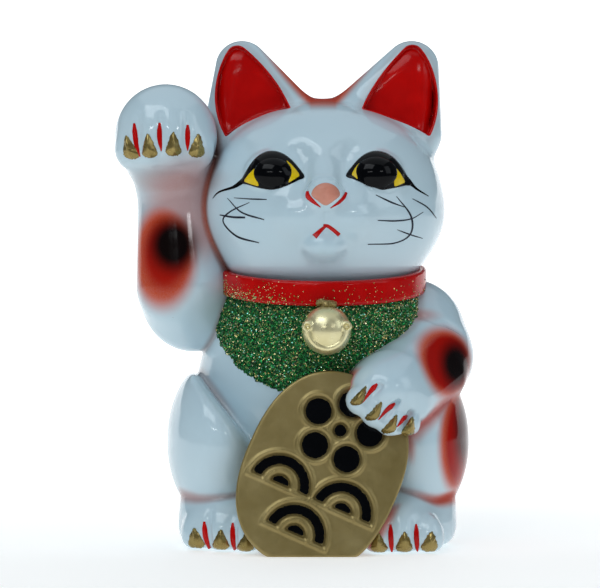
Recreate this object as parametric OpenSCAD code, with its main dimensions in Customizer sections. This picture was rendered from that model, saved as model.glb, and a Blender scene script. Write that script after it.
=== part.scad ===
// Beckoning cat: a hollow glazed figurine with a coin slot in the back and a stopper in the base.
// +Z is up and the cat faces -Y. The origin is in the middle of the base, on the surface it stands on.
// The cat's own right arm, on the -X side, is the raised one.

/* [Casting] */
// Thickness of the ceramic walls
wall = 5; // [4:0.5:6]
// Thickness of the base, which holds the stopper
base_t = 8; // [7:0.5:9]
// Radius of the rounded edge around the base
base_round = 8; // [5:1:9]

/* [Body] */
// Width of the torso
torso_w = 148; // [140:1:156]
// Depth of the torso
torso_d = 146; // [140:1:150]
// Height of the middle of the torso
torso_z = 80; // [76:1:84]
// Width of the shoulders just below the collar
neck_w = 116; // [112:1:120]
// Distance of each haunch from the middle of the body
haunch_x = 56.5; // [54:0.5:60]
// Distance of the left foot from the middle of the body
foot_x = 48; // [46:1:50]
// How much further out and back the right foot is
foot_shift = 7.5; // [0:0.5:9]

/* [Head] */
// Width across the cheeks
cheek_w = 144; // [138:1:150]
// Height of the middle of the skull
skull_z = 210; // [206:1:213]
// Distance of each ear tip from the middle of the head
ear_x = 51; // [48:1:54]
// Radius of the rounded ear tip
ear_r = 15; // [13:0.5:16]
// Distance of each eye from the middle of the head
eye_x = 29.5; // [27:0.5:32]

/* [Arms] */
// Width of the raised paw
paw_w = 61; // [57:1:62]
// Height of the middle of the raised paw
paw_z = 240; // [235:1:244]
// Radius of the lowered forearm
forearm_r = 26; // [24:0.5:28]

/* [Coin plate] */
// Width of the coin plate
koban_w = 88; // [84:1:92]
// Height of the whole oval, part of which is cut off by the ground
koban_h = 114; // [109:1:118]
// Thickness of the rim
koban_t = 9; // [7:0.5:10]
// Sideways lean of the top
koban_lean = 24; // [19:1:28]
// How far the top leans back
koban_tilt = 10; // [6:1:12]
// Depth of the engraved ornament
engrave_d = 3; // [2:0.5:4]

/* [Trim] */
// Height of the collar
collar_h = 14; // [11:0.5:15]
// Thickness of the glitter coating
bib_t = 1.5; // [1:0.25:2]
// Diameter of the bell
bell_d = 28; // [24:1:30]

/* [Coin bank] */
// Width of the coin slot
slot_w = 36; // [30:1:40]
// Height of the coin slot
slot_h = 5; // [4.5:0.5:6]
// Height of the slot above the ground
slot_z = 128; // [118:1:134]
// Radius of the round hole in the base
hole_r = 20; // [18:0.5:22]
// Gap all around the stopper
stopper_gap = 0.3; // [0.2:0.1:0.5]

/* [Hidden] */

WHITE = [0.93, 0.95, 0.97];
GOLD = [0.66, 0.54, 0.24];
RED = [0.78, 0.06, 0.05];
BLACK = [0.03, 0.03, 0.03];
GREEN = [0.06, 0.36, 0.16];
PINK = [0.90, 0.60, 0.52];
RUBBER = [0.12, 0.12, 0.13];

body_x = 14.5;              // the body's middle, a little left of the head's
head_x = 17.5;
body_top = 176;             // top of the body's form, hidden inside the head
far = 400;                  // longer than anything that is cut
counterbore_r = hole_r + 5; // room for the stopper's flange
flange_t = 3;
flange_lift = 1;            // the flange stays this far off the ground
flange_gap = 0.5;           // room above the flange
plug_r = hole_r - stopper_gap;
plug_h = base_t + 4;
plug_wall = 4;
slant = atan(0.15);         // tilt of the neck joint and the collar, higher at the back
collar_low = 149;           // height of the collar's lower edge at y = 0
seam_z = collar_low + collar_h * 0.6; // height of the neck joint at y = 0, behind the collar
blend_r = 5;                // softness of the joins between the masses
koban_at = [16.5, -78.5, 47.5]; // middle of the coin plate's front
koban_core = 0.86;          // size of the core that carries the plate, against the plate
koban_core_t = 17;
petal_r = 8.6;              // petals of the engraved blossom, and the bud in its middle
bud_r = 4.6;
crest_r = 18;               // engraved wave crests, and the width of their arches
arch_w = 7.5;
enamel_t = 1;               // enamel on the floor of the engraving
enamel_gap = 0.1;           // and its distance from the gold around it

// A mass is [centre, radii]: an ellipsoid that the casting swells around.
torso = [
    [[body_x, 13, torso_z], [torso_w / 2, torso_d / 2, 90]],
    [[body_x, 8, 30], [70, 66, 42]],
    [[head_x, -4, 134], [neck_w / 2, 54, 42]]];
function both(x, dx, y, z, r) = [[[x - dx, y, z], r], [[x + dx, y, z], r]];
haunches = both(body_x, haunch_x, -12, 60, [33, 54, 50]);
feet = [
    [[body_x - foot_x - foot_shift, -41 + foot_shift, 14], [27, 36, 24]],
    [[body_x + foot_x, -41, 14], [28, 37, 24]]];
skull = [
    [[head_x, 2, skull_z], [69, 62, 52]],
    [[head_x, -7, skull_z - 15], [cheek_w / 2, 61, 42]],
    [[head_x, -6, skull_z - 20], [57, 57, 60]]];
eye_mounds = both(head_x, eye_x, -45, skull_z + 7, [20, 19, 19]);
muzzle = concat(both(head_x, 11, -61, skull_z - 18, [17, 15, 13]),
    [[[head_x, -62, skull_z - 1], [12, 14, 16]], [[head_x, -57, skull_z - 35], [17, 14, 10]]]);
paw = [[-76, -20, paw_z], [paw_w / 2, 27, 31]];
raised_masses = [
    [[-60, 2, 145], [31.5, 28, 33]],
    [[-66, -10, 184], [27, 24, 62]],
    paw];
shoulder = [[67, 3, 127], [31, 30, 29]];
elbow = [[79, -10, 111], [forearm_r + 1, 28, forearm_r + 1]];
lowered_paw = [[52, -60, 98], [25, 27, 23]];

// Distance from point o along direction u to where the ray last leaves a mass grown by g.
function reach(o, u, m, g) =
    let(r = [for (v = m[1]) v + g],
        d = [for (i = [0:2]) (o[i] - m[0][i]) / r[i]],
        e = [for (i = [0:2]) u[i] / r[i]],
        disc = (d * e) ^ 2 - (e * e) * (d * d - 1))
    disc <= 0 ? 0 : max(0, (sqrt(disc) - d * e) / (e * e));
// The same for several masses, blended where they meet.
function swell(o, u, masses, g) =
    blend_r * ln(sum([for (m = masses) exp(reach(o, u, m, g) / blend_r)]));
function sum(v) = v * [for (x = v) 1];
function dir(az, el) = [cos(az) * cos(el), sin(az) * cos(el), sin(el)];

// A skin around the masses, from rings of [origin, elevation, tuck] and two end points.
// Each ring's points lie where its rays leave the masses, less its tuck.
module skin(rings, ends, masses, g, n) {
    count = len(rings);
    points = concat(
        [for (ring = rings, i = [0:n - 1])
            let(u = dir(360 * i / n, ring[1])) ring[0] + u * (swell(ring[0], u, masses, g) - ring[2])],
        ends);
    sides = [for (j = [0:count - 2], i = [0:n - 1])
        let(a = j * n + i, b = j * n + (i + 1) % n)
            each [[a, b + n, b], [a, a + n, b + n]]];
    bottom = [for (i = [0:n - 1]) [i, (i + 1) % n, count * n]];
    top = [for (i = [0:n - 1]) [(count - 1) * n + (i + 1) % n, (count - 1) * n + i, count * n + 1]];
    polyhedron(points, concat(sides, bottom, top), convexity = 10);
}

// Everything inside becomes one smooth mesh.
module cast() { resize([0, 0, 0]) children(); }

function base_tuck(z) = z >= base_round ? 0 :
    base_round - sqrt(base_round ^ 2 - (base_round - z) ^ 2);
function lerp(a, b, t) = a + (b - a) * t;

// Heights of a body's rings, close together where it is rounded.
function body_levels(low, high, steps) = [for (i = [0:steps])
    let(t = i / steps) lerp(low, high, 0.55 * t + 0.45 * t * t)];
function body_axis(z) = [lerp(body_x, head_x, z / 170), lerp(4, -2, z / 170), z];

module body_form(g, low = 0, n = 60, steps = 24) {
    levels = body_levels(low, body_top, steps);
    rings = [for (z = levels) [body_axis(z), 0, low == 0 ? base_tuck(z) : 0]];
    skin(rings, [body_axis(low), body_axis(body_top)], concat(torso, haunches, feet), g, n);
}
module head_form(g, n = 60, steps = 30) {
    o = [head_x, -4, skull_z - 6];
    masses = concat(skull, eye_mounds, muzzle);
    rings = [for (i = [1:steps - 1]) [o, lerp(-90, 90, i / steps), 0]];
    ends = [for (s = [-1, 1]) o + [0, 0, s] * swell(o, [0, 0, s], masses, g)];
    skin(rings, ends, masses, g, n);
}
// A limb that stands up: rings around an upright axis between its lowest and highest points.
module upright_form(masses, foot, tip, g, n, steps) {
    rings = [for (i = [1:steps - 1])
        let(t = (1 - cos(180 * i / steps)) / 2) [lerp(foot, tip, t) + [0, 0, 1] * lerp(-g, g, t), 0, 0]];
    skin(rings, [foot - [0, 0, g], tip + [0, 0, g]], masses, g, n);
}
// A ball grown by g around a mass.
module ball(m, g = 0, n = 28) {
    translate(m[0]) scale([for (r = m[1]) r + g]) sphere(1, $fn = n);
}
module lowered_form(g) {
    hull() {
        ball(shoulder, g);
        ball(elbow, g);
    }
    hull() {
        ball(elbow, g);
        ball(lowered_paw, g);
    }
}
module raised_form(g, n = 32, steps = 22) {
    low = raised_masses[0];
    foot = low[0] - [0, 0, low[1][2]];
    tip = paw[0] + [0, 0, paw[1][2]];
    upright_form(raised_masses, foot, tip, g, n, steps);
}

// The ear is a rounded triangle; s is -1 for the cat's right ear and 1 for the left.
module ear_form(s) {
    corners = [[ear_x, 4, 299 - ear_r], [57, 0, 243], [13, 2, 246]];
    hull() for (c = corners)
        translate([head_x + s * c[0], c[1], c[2]]) scale([1, 0.75, 1]) sphere(ear_r, $fn = 24);
}
// The hollow in the front of the ear: its floor's corners, and how far it is open to the front.
module ear_pocket(s, open) {
    corners = [[52, -3, 290], [62, 0, 273], [57, -8, 243], [23, -13, 257]];
    bead = 2;
    hull() for (c = corners, y = [0, -open])
        translate([head_x + s * c[0], c[1] + y, c[2]]) sphere(bead, $fn = 12);
}

// The oval of the coin plate, a little squarer than an ellipse.
module oval(w, h, n = 72) {
    power = 2.4;
    polygon([for (i = [0:n - 1])
        let(a = 360 * i / n, c = cos(a), s = sin(a))
            [sign(c) * w / 2 * abs(c) ^ (2 / power), sign(s) * h / 2 * abs(s) ^ (2 / power)]]);
}
// Places a drawing on the front face of the leaning plate.
module on_koban() {
    translate(koban_at) rotate([90 - koban_tilt, 0, 0]) rotate([0, 0, -koban_lean]) children();
}
module koban_form() {
    intersection() {
        union() {
            on_koban() translate([0, 0, -koban_t]) linear_extrude(koban_t) oval(koban_w, koban_h);
            on_koban() translate([0, 0, 1 - koban_t - koban_core_t])
                linear_extrude(koban_core_t) oval(koban_w * koban_core, koban_h * koban_core);
        }
        translate([-far / 2, -far / 2, 0]) cube(far);
    }
}

// Half of space below a plane that rises to the back, through height z at y = 0.
module below(z) {
    translate([0, 0, z]) rotate([slant, 0, 0]) translate([-far / 2, -far / 2, -far]) cube(far);
}
module above(z) {
    translate([0, 0, z]) rotate([slant, 0, 0]) translate([-far / 2, -far / 2, 0]) cube(far);
}

module body_casting() {
    color(WHITE) difference() {
        cast() difference() {
            body_form(0);
            above(seam_z);
            body_form(-wall, base_t, 32, 14);
            translate([head_x - slot_w / 2, 30, slot_z]) cube([slot_w, 80, slot_h]);
        }
        translate([body_x, 0, -1]) cylinder(h = base_t + 2, r = hole_r, $fn = 64);
        translate([body_x, 0, -1])
            cylinder(h = 1 + flange_lift + flange_t + flange_gap, r = counterbore_r, $fn = 64);
    }
}
module head_solid() {
    difference() {
        head_form(0);
        below(seam_z);
    }
    for (s = [-1, 1]) ear_form(s);
}
module head_casting() {
    color(WHITE) cast() difference() {
        head_solid();
        head_form(-wall, 32, 16);
        for (s = [-1, 1]) ear_pocket(s, 40);
    }
}
module raised_arm() {
    color(WHITE) cast() difference() {
        raised_form(0);
        raised_form(-wall, 20, 12);
        body_form(0);
        head_solid();
        collar_drum(3 * collar_h);
    }
}
module lowered_arm() {
    color(WHITE) cast() difference() {
        lowered_form(0);
        lowered_form(-wall);
        body_form(0);
        head_solid();
        collar_drum(3 * collar_h);
        koban_form();
    }
}
module tail() {
    color(WHITE) cast() difference() {
        ball([[body_x + 8, 70, 24], [17, 16, 17]]);
        body_form(0);
    }
}
module koban_plate() {
    color(GOLD) cast() difference() {
        koban_form();
        body_form(0);
        on_koban() translate([0, 0, -engrave_d]) linear_extrude(2 * engrave_d) ornament();
    }
}

// A blossom of five petals around a bud.
module blossom(r) {
    for (i = [0:4]) rotate(90 + 72 * i) translate([r, 0]) circle(petal_r, $fn = 22);
    circle(bud_r, $fn = 16);
}
// A wave crest: an arch over a half disc.
module crest(r = crest_r) {
    intersection() {
        union() {
            difference() {
                circle(r, $fn = 32);
                circle(r - arch_w, $fn = 24);
            }
            circle(r - arch_w - 4, $fn = 20);
        }
        translate([-r, 0]) square([2 * r, r]);
    }
}
module ornament() {
    translate([0, 25]) blossom(16.5);
    for (x = [-19, 19]) translate([x, -17]) crest();
    translate([0, -39]) crest();
}
// Black enamel on the floor of the engraving.
module koban_ornament() {
    color(BLACK) cast() on_koban() translate([0, 0, enamel_gap - engrave_d])
        linear_extrude(enamel_t) offset(delta = -enamel_gap) ornament();
}

bell_r = bell_d / 2;
bell_at = [head_x + 1.5, -68, 126];
module bell_form() {
    translate(bell_at) difference() {
        sphere(bell_r, $fn = 32);
        translate([0, -bell_r, 1]) rotate([90, 0, 0]) rotate([0, 0, 200])
            rotate_extrude(angle = 140, $fn = 32) translate([8, 0]) circle(0.8, $fn = 6);
        for (s = [-1, 1]) translate([s * 8, -bell_r, -1]) sphere(2, $fn = 12);
    }
}
module bell() {
    color(GOLD) cast() difference() {
        bell_form();
        body_form(bib_t);
    }
}
module bell_loop() {
    color(GREEN) cast() difference() {
        translate(bell_at + [0, 0, bell_r + 1]) scale([1, 0.8, 0.7]) sphere(5, $fn = 16);
        bell_form();
        body_form(bib_t);
        collar_form();
    }
}
// The oval drum that the collar is cut from, h high.
module collar_drum(h) {
    translate([head_x, -3, collar_low]) rotate([slant, 0, 0])
        scale([neck_w / 2 + 4, neck_w / 2 + 2.5, 1]) cylinder(h = h, r = 1, $fn = 72);
}
module collar_form() {
    difference() {
        collar_drum(collar_h);
        body_form(0);
        head_form(0);
    }
}
module collar_band() { color(RED) cast() collar_form(); }
module bib() {
    color(GREEN) cast() difference() {
        intersection() {
            body_form(bib_t);
            below(collar_low);
            translate([head_x, 10, 139]) rotate([90, 0, 0])
                scale([64, 50, 1]) cylinder(h = 120, r = 1, $fn = 72);
        }
        body_form(0);
        koban_form();
        lowered_form(0);
        raised_form(0);
    }
}
module ear_lining(s) { color(RED) cast() ear_pocket(s, 0); }
module right_ear_lining() { ear_lining(-1); }
module left_ear_lining() { ear_lining(1); }

module eye(s) {
    color(BLACK) cast() difference() {
        ball([[head_x + s * eye_x, -56, skull_z + 6], [19.5, 12.5, 12]]);
        head_form(0);
    }
}
module right_eye() { eye(-1); }
module left_eye() { eye(1); }
module nose_pad() {
    color(PINK) cast() difference() {
        ball([[head_x, -74, skull_z - 7], [8.5, 8, 6.5]]);
        head_form(0);
    }
}

// One claw: a drop with its round end down, its point up at height h.
module claw(at, h = 12, lean = 0, r = 4) {
    translate(at) rotate([lean, 0, 0]) hull() {
        sphere(r, $fn = 14);
        translate([0, 1.5, h]) sphere(1, $fn = 8);
    }
}
module raised_paw_claws() {
    color(GOLD) cast() difference() {
        for (i = [-1.5:1.5]) claw([paw[0][0] + 14.5 * i, -42 + 2.2 * i * i, paw_z - 13], lean = 12);
        raised_form(0);
    }
}
module lowered_paw_claws() {
    color(GOLD) cast() difference() {
        for (i = [0:3]) claw([38 + 8.5 * i, -83.5 + 1.5 * (i - 1) ^ 2, 92 - 6 * i], h = 9, r = 3.4);
        lowered_form(0);
        koban_form();
    }
}
module foot_claws(foot) {
    color(GOLD) cast() difference() {
        for (i = [-1:1])
            claw([foot[0] + 14 * i, foot[1] - 32 + 2.5 * i * i, 5], h = 10, lean = 8);
        body_form(0);
        koban_form();
    }
}
module right_foot_claws() { foot_claws(feet[0][0]); }
module left_foot_claws() { foot_claws(feet[1][0]); }

module stopper() {
    color(RUBBER) translate([body_x, 0, flange_lift]) difference() {
        union() {
            cylinder(h = flange_t, r = counterbore_r - 1, $fn = 64);
            cylinder(h = plug_h, r = plug_r, $fn = 64);
        }
        translate([0, 0, flange_t]) cylinder(h = plug_h, r = plug_r - plug_wall, $fn = 64);
    }
}

body_casting();
head_casting();
raised_arm();
lowered_arm();
tail();
koban_plate();
koban_ornament();
bell();
bell_loop();
collar_band();
bib();
right_ear_lining();
left_ear_lining();
right_eye();
left_eye();
nose_pad();
raised_paw_claws();
lowered_paw_claws();
right_foot_claws();
left_foot_claws();
stopper();
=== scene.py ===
import math

import bpy
import numpy as np
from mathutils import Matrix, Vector

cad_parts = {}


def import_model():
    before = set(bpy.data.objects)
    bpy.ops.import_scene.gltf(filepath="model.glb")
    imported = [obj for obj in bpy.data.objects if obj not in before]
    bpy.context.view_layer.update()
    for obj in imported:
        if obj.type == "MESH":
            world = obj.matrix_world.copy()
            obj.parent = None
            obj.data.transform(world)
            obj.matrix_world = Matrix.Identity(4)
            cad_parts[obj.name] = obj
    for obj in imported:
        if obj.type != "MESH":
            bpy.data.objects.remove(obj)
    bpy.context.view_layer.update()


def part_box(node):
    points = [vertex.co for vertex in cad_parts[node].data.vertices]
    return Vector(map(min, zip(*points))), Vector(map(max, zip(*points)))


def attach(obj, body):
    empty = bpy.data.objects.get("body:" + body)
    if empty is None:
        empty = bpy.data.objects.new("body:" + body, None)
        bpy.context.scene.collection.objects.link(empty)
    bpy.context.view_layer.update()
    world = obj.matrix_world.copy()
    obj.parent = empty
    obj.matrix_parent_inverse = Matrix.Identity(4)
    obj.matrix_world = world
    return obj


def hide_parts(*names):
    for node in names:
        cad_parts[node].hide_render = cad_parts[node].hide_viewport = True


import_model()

# The ceramic skins are modelled in millimetres as smooth blends of rounded masses: each piece is a
# function that is negative inside, and `surface` turns it into a mesh. Paint is laid on those skins as
# thin raised patches. The main anchors come from the frame's boxes; the masses are set here, close to
# those of the CAD.
MM = 0.001
FINE, COARSE = ((1.0, 1.25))
draw = np.random.default_rng(7)


# ---------------------------------------------------------------- places from the frame

def span(node):
    low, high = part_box(node)
    return np.array(low) / MM, np.array(high) / MM


def middle(node):
    low, high = span(node)
    return (low + high) / 2


BODY_X = middle("stopper")[0]
HEAD_X = middle("nose_pad")[0]
EAR_TOP = span("head_casting")[1][2]
SKULL_Z = EAR_TOP - 89
NOSE = middle("nose_pad")
BELL = middle("bell")
PAW = np.array([span("raised_arm")[0][0] + 31, -20, span("raised_arm")[1][2] - 31.5])
BACK_Y = span("body_casting")[1][1]
SLANT = 0.15
COLLAR_Z = span("collar_band")[0][2] + 9


# ---------------------------------------------------------------- distance functions

def ellipsoid(p, centre, radii):
    q = (p - np.asarray(centre, float)) / np.asarray(radii, float)
    near = np.sqrt((q * q).sum(-1)) + 1e-9
    slope = np.sqrt(((q / np.asarray(radii, float)) ** 2).sum(-1)) + 1e-9
    return near * (near - 1) / slope


def capsule(p, a, b, ra, rb):
    a, b = np.asarray(a, float), np.asarray(b, float)
    t = np.clip((p - a) @ (b - a) / ((b - a) @ (b - a)), 0, 1)
    return np.sqrt(((p - a - t[..., None] * (b - a)) ** 2).sum(-1)) - (ra + (rb - ra) * t)


def join(a, b, k):
    h = np.clip(1 - np.abs(a - b) / k, 0, 1)
    return np.minimum(a, b) - h ** 3 * k / 6


def meet(a, b, k):
    return -join(-a, -b, k)


def slab(p, corners, r, squash):
    """A flat rounded plate through three corners, squashed along Y around the first."""
    q = p.copy()
    y0 = corners[0][1]
    q[:, 1] = y0 + (q[:, 1] - y0) * squash
    a, b, c = [np.asarray(v, float) for v in corners]
    n = np.cross(b - a, a - c)
    inside, edge = 0, None
    for s, e in ((a, b), (b, c), (c, a)):
        w, v = q - s, e - s
        inside = inside + np.sign(w @ np.cross(v, n))
        t = np.clip(w @ v / (v @ v), 0, 1)
        d = ((t[:, None] * v - w) ** 2).sum(-1)
        edge = d if edge is None else np.minimum(edge, d)
    flat = ((q - a) @ n) ** 2 / (n @ n)
    return (np.sqrt(np.where(inside < 2, edge, flat)) - r) / squash ** 0.5


def local(p, x):
    """p about the plane x, and the same folded onto its right half."""
    q = p - [x, 0, 0]
    m = q.copy()
    m[:, 0] = np.abs(m[:, 0])
    return q, m


def bulges(p, d, items):
    """Joins ellipsoids [centre, radii, softness] to d."""
    for centre, radii, k in items:
        d = join(d, ellipsoid(p, centre, radii), k)
    return d


def grooves(p, d, lines, r, k):
    for a, b in lines:
        d = meet(d, -capsule(p, a, b, r, r * 0.6), k)
    return d


# ---------------------------------------------------------------- the cat's masses

TOE = 14.5
# Each foot's side, distance from the body's middle, toes' place in depth and how far the outer one is behind.
FEET = ((-1, 55.5, -58.0, 7.5), (1, 48.0, -68.0, 1.5))


def neck_plane(p, z):
    return p[:, 2] - (z + SLANT * p[:, 1])


# For each ear, circles that bound its hollow: outer, inner and lower edge. Each is its middle, outward
# from the head's middle and up from the ears' top, and its radius.
EAR_ARCS = {-1: ((12.5, -33.5, 51), (113.5, -84, 102.5), (17.5, -100, 57.5)),
            1: ((18, -36, 50), (140.5, -96, 128.5), (7, -144.5, 103))}


def ear_outline(q, side):
    """The hollow of an ear seen from the front: negative inside."""
    a, b, low = [np.hypot(side * q[:, 0] - x, q[:, 2] - EAR_TOP - z) - r for x, z, r in EAR_ARCS[side]]
    r = 7
    rounded = np.hypot(np.maximum(a + r, 0), np.maximum(b + r, 0)) - r
    rim = np.where(np.maximum(a, b) < -r, np.maximum(a, b), rounded)
    return meet(rim, -low, 2)


def hollows(q):
    return np.minimum(ear_outline(q, -1), ear_outline(q, 1))


def ear(q, side):
    """A rounded flat triangle; side is -1 for the cat's right ear and 1 for the left."""
    tip, root, r = (48.5, 56.0, 16.0) if side < 0 else (53.5, 55.0, 16.5)
    corners = [(side * tip, 4, EAR_TOP - r), (side * root, 0, EAR_TOP - 56), (side * 11, 2, EAR_TOP - 54)]
    return slab(q, corners, r, 1.35)


def hollow_depth(q):
    return 3 + 3.5 * np.clip((EAR_TOP - 20 - q[:, 2]) / 30, 0, 1)


def skull(q, m):
    z = SKULL_Z
    d = ellipsoid(q, (0, 2, z), (69, 62, 52))
    d = bulges(q, d, [((0, -7, z - 16), (70.8, 61, 42), 20), ((0, -6, z - 20), (63, 58, 60.5), 20)])
    d = join(d, np.minimum(ear(q, -1), ear(q, 1)), 12)
    d = join(d, capsule(q, (-9, -2, EAR_TOP - 49.5), (9, -2, EAR_TOP - 49.5), 14, 14), 3)
    d = bulges(m, d, [((28.5, -45, z + 4), (18.5, 19.3, 17), 3.5)])
    brow = [((10.7, -69.5, z + 2), (11.5, -61.5, z + 15)), ((11.5, -61.5, z + 15), (15, -57.5, z + 20.5))]
    d = grooves(m, d, brow, 2.6, 16)
    d = join(d, capsule(q, (0, -42, z + 15), (0, -70, z - 6), 8.5, 8), 8)
    d = bulges(q, d, [((0, -73, z - 6), (9.5, 8.5, 8), 5)])
    d = bulges(m, d, [((10.5, -61, z - 19), (18, 14, 13), 12)])
    d = bulges(q, d, [((0, -61, z - 35.5), (13, 14.5, 9), 7)])
    d = meet(d, -capsule(q, (0, -84, z - 14), (0, -80, z - 24), 3.0, 2.5), 5)
    return meet(d, -capsule(m, (0, -79, z - 25.5), (13, -73, z - 33), 1.5, 1.2), 5)


def head(p):
    q, m = local(p, HEAD_X)
    d = skull(q, m)
    hollow = np.maximum(hollows(q), q[:, 1] - 3)
    return meet(d, join(-hollow, d + hollow_depth(q), 2.5), 1.6)


def torso(p, grow=0):
    q = p - [BODY_X, 0, 0]
    d = ellipsoid(q, (0, 13, 80), (74 + grow, BACK_Y - 13 + grow, 90 + grow))
    d = bulges(q, d, [((0, 8, 30), (70 + grow, 66 + grow, 42 + grow), 20)])
    return join(d, ellipsoid(p, (HEAD_X, -4, 134), (59 + grow, 55 + grow, 42 + grow)), 18)


THIGH = ((56.5, -12, 60), (33, 54, 50))


def thigh(p):
    """A haunch: an ellipsoid whose upper inner side is cut back along a slope."""
    m = local(p, BODY_X)[1]
    slope = -0.768 * (m[:, 0] - 54) + 0.64 * (m[:, 2] - 80)
    return meet(ellipsoid(m, *THIGH), slope, 14)


def instep(q, side, mid, front):
    """A foot without its toes."""
    d = ellipsoid(q, (side * (mid - 4), front + 25, 13), (27, 34, 23))
    return join(d, capsule(q, (side * 60, -34, 13.5), (side * 60.5, -30, 23), 20.5, 20), 10)


def body(p):
    q = local(p, BODY_X)[0]
    d = torso(p)
    d = join(d, thigh(p), 4)
    for s, mid, front, back in FEET:
        d = join(d, instep(q, s, mid, front), 4)
        toes = [((s * (mid + TOE * i), front + back * i, 9), (8.7, 10, 12), 6) for i in (-1, 0, 1)]
        d = bulges(q, d, toes)
        rows = [(s * (mid + TOE * i), front + back * i - 13) for i in (-0.5, 0.5)]
        cuts = [((x, y + 1, 2), (x, y + 6, 27)) for x, y in rows]
        d = grooves(q, d, cuts, 2.2, 5)
    return d


def raised(p):
    x, y, z = PAW
    d = ellipsoid(p, (-60, 3, 145), (31.5, 26, 33))
    d = join(d, capsule(p, (-66, -10, 152), (-70, -8, 206), 27.3, 22.5), 10)
    d = join(d, ellipsoid(p, (x, y, z), (30, 27, 30.8)), 22)
    toes = [((x + dx, -36.5 + 0.012 * dx * dx, z - 9), (8.5, 8, 10), 9) for dx in (-20, -8.2, 6.1, 19.5)]
    d = bulges(p, d, toes)
    cuts = [((x + dx, -48.8 + 0.013 * dx * dx, z - 14), (x + dx, -46.8 + 0.014 * dx * dx, z + 11))
            for dx in (-15.4, -1.6, 14)]
    wrist = (x - 2, -41.5, z - 22)
    cuts += [((x - 24, -37, z - 22.5), wrist), ((x + 20, -39, z - 20), wrist)]
    return grooves(p, d, cuts, 2.2, 6)


PAW_TOES = ((38, -78, 87), (46.5, -78, 80), (55, -77, 75), (63.3, -73, 74))
PAW_CUTS = (((48, -85, 95), (40.5, -87, 86)), ((58, -83, 87), (50, -86, 77)),
            ((66, -78, 79.5), (60, -82, 71)))
SHOULDER_FOLD = (((68, -27.5, 136), (84, -31, 132)), ((84, -31, 132), (98, -26, 125)))


def lowered(p):
    d = ellipsoid(p, (69, 3, 125.5), (33, 30, 30.5))
    d = join(d, ellipsoid(p, (79, -12, 110), (26.5, 27, 26.5)), 16)
    d = join(d, capsule(p, (78, -14, 107), (59, -54, 94), 25, 21.5), 14)
    d = join(d, capsule(p, (66, -64, 85), (84, -30, 99), 12.5, 16.5), 10)
    d = join(d, ellipsoid(p, (53.5, -60, 92), (23.5, 27, 20.5)), 9)
    toes = [(at, (8.5, 9, 8.5), 5) for at in PAW_TOES]
    d = bulges(p, d, toes)
    return grooves(p, grooves(p, d, PAW_CUTS, 1.6, 5), SHOULDER_FOLD, 1.3, 7)


def tail(p):
    x, y, z = middle("tail")
    return ellipsoid(p, (x, BACK_Y - 16, z + 1), (17, 16, 17))


KOBAN_LEAN, KOBAN_TILT = math.radians(24), math.radians(10)
KOBAN_AT = np.array([16.5, -78.5, 47.5])
KOBAN_W, KOBAN_H = 44, 57


def koban_axes():
    """The coin plate's own right, up and outward directions."""
    out = np.array([0, -math.cos(KOBAN_TILT), math.sin(KOBAN_TILT)])
    rise = np.array([0, math.sin(KOBAN_TILT), math.cos(KOBAN_TILT)])
    side = np.array([1.0, 0, 0])
    c, s = math.cos(KOBAN_LEAN), math.sin(KOBAN_LEAN)
    return c * side - s * rise, s * side + c * rise, out


def koban_local(p):
    return (p - KOBAN_AT) @ np.array(koban_axes()).T


def oval(u, v, w, h):
    e = (np.abs(u / w) ** 2.4 + np.abs(v / h) ** 2.4 + 1e-9) ** (1 / 2.4)
    return (e - 1) * w


CREST, ARCH = 18, 7.5


def motif(u, v):
    """A five-petalled blossom over three wave crests: negative inside the strokes."""
    d = np.hypot(u, v - 25) - 4.6
    for i in range(5):
        a = math.radians(90 + 72 * i)
        d = np.minimum(d, np.hypot(u - 16.5 * math.cos(a), v - 25 - 16.5 * math.sin(a)) - 8.6)
    for cx, cz in ((-19, -17), (19, -17), (0, -39)):
        r = np.hypot(u - cx, v - cz)
        arch = np.minimum(np.abs(r - CREST + ARCH / 2) - ARCH / 2, r - CREST + ARCH + 4)
        d = np.minimum(d, meet(arch, cz - v, 2))
    return d


ENGRAVE = 2.8


def koban(p):
    q = koban_local(p)
    u, v, w = q[:, 0], q[:, 1], q[:, 2]
    rim = oval(u, v, KOBAN_W, KOBAN_H)
    d = meet(rim, np.abs(w + 4.5) - 4.5, 2.5)
    core = np.maximum(oval(u, v, 0.86 * KOBAN_W, 0.86 * KOBAN_H), np.abs(w + 15) - 9)
    d = np.minimum(d, core)
    edge = motif(u, v)
    lip = 0.7 * np.exp(-((edge - 1.5) / 1.0) ** 2)
    cut = meet(edge - 0.45 * w, -w - ENGRAVE, 1.0)
    d = meet(d - lip, -cut, 1.0)
    return meet(d, -p[:, 2], 1)


BASE_WALL = 8.0
HOLE_R, SEAT_R, SEAT_DEPTH = 20, 25, 4.5
SLOT_Z, SLOT_W, SLOT_H = 130.5, 36, 5


def inner_room(p):
    """The space inside the body, with the stopper's hole and the coin slot."""
    x, y = middle("stopper")[:2]
    room = meet(torso(p, -6), BASE_WALL - p[:, 2], 2)
    room = meet(room, neck_plane(p, 150), 2)
    across = np.hypot(p[:, 0] - x, p[:, 1] - y)
    hole = np.maximum(across - HOLE_R, p[:, 2] - BASE_WALL - 2)
    seat = np.maximum(across - SEAT_R, p[:, 2] - SEAT_DEPTH)
    slot = np.maximum(np.abs(p[:, 0] - HEAD_X) - SLOT_W / 2, np.abs(p[:, 2] - SLOT_Z) - SLOT_H / 2)
    slot = np.maximum(slot, 40 - p[:, 1])
    return np.minimum(np.minimum(room, hole), np.minimum(seat, slot))


SEAM_Z = COLLAR_Z + 8.4


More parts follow.
